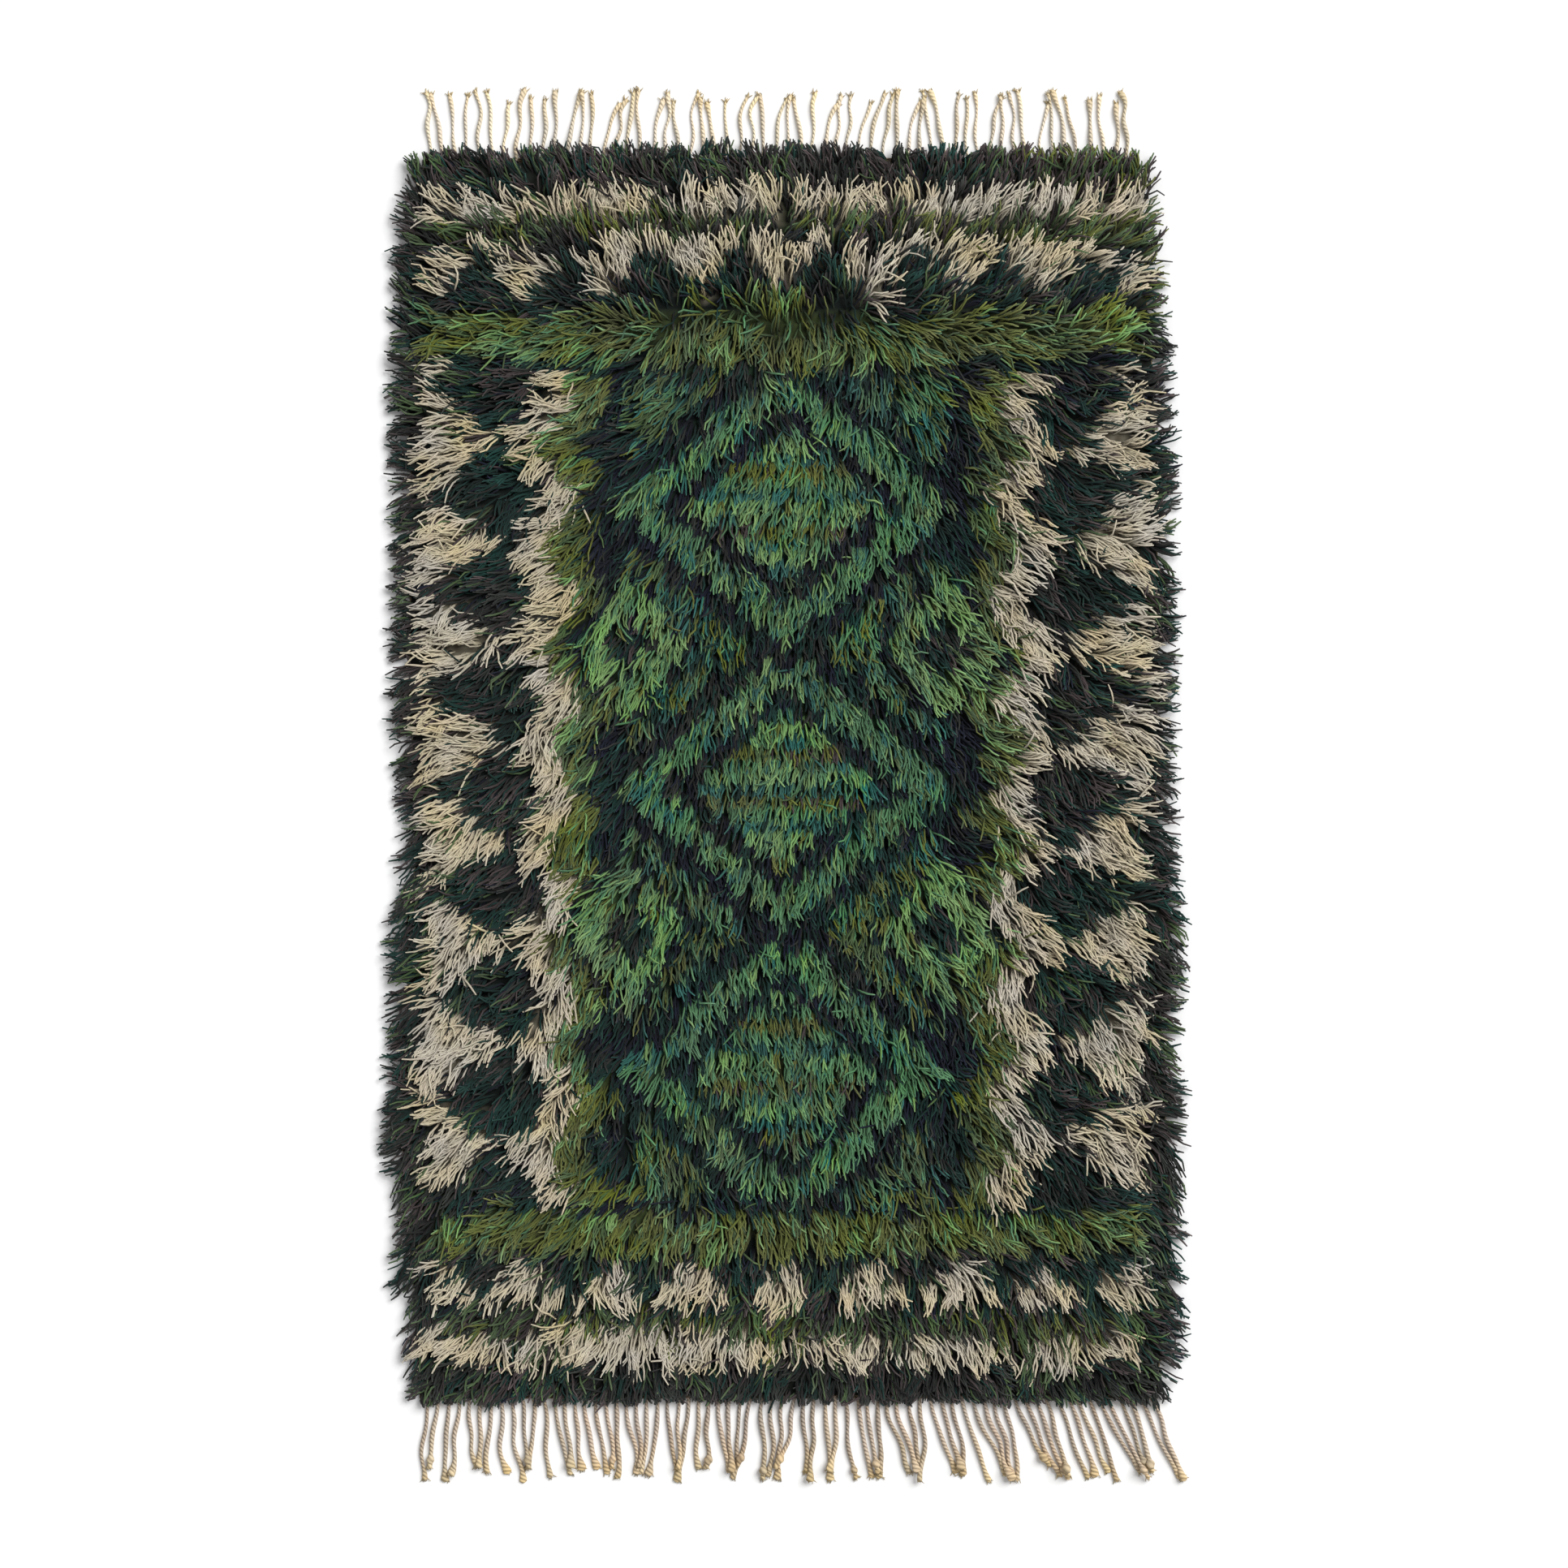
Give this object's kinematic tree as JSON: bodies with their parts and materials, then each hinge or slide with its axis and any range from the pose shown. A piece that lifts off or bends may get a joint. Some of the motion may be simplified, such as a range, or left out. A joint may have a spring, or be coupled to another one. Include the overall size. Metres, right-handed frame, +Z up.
{
  "type": "rya rug",
  "caption": "Flat hand-knotted shag rug with a long lumpy pile over a woven ground and a plied cord fringe at both ends.",
  "frame": {"origin": "middle of the rug's outline, fringes included, on the floor", "axes": "+Y along the rug, towards the end that is up in the picture; +X across it, to the picture's right; +Z up out of the pile"},
  "size_m": [1.1815, 2.0101, 0.0365],
  "materials": {
    "ground": "plain woven wool and linen",
    "pile_yarn": "long loose wool yarn in dark, green and cream shades",
    "warp_cord": "undyed plied cord"
  },
  "bodies": {
    "root": {"ground_cloth": "ground", "pile": "pile_yarn", "fringe_top": "warp_cord", "fringe_bottom": "warp_cord"}
  },
  "joints": []
}
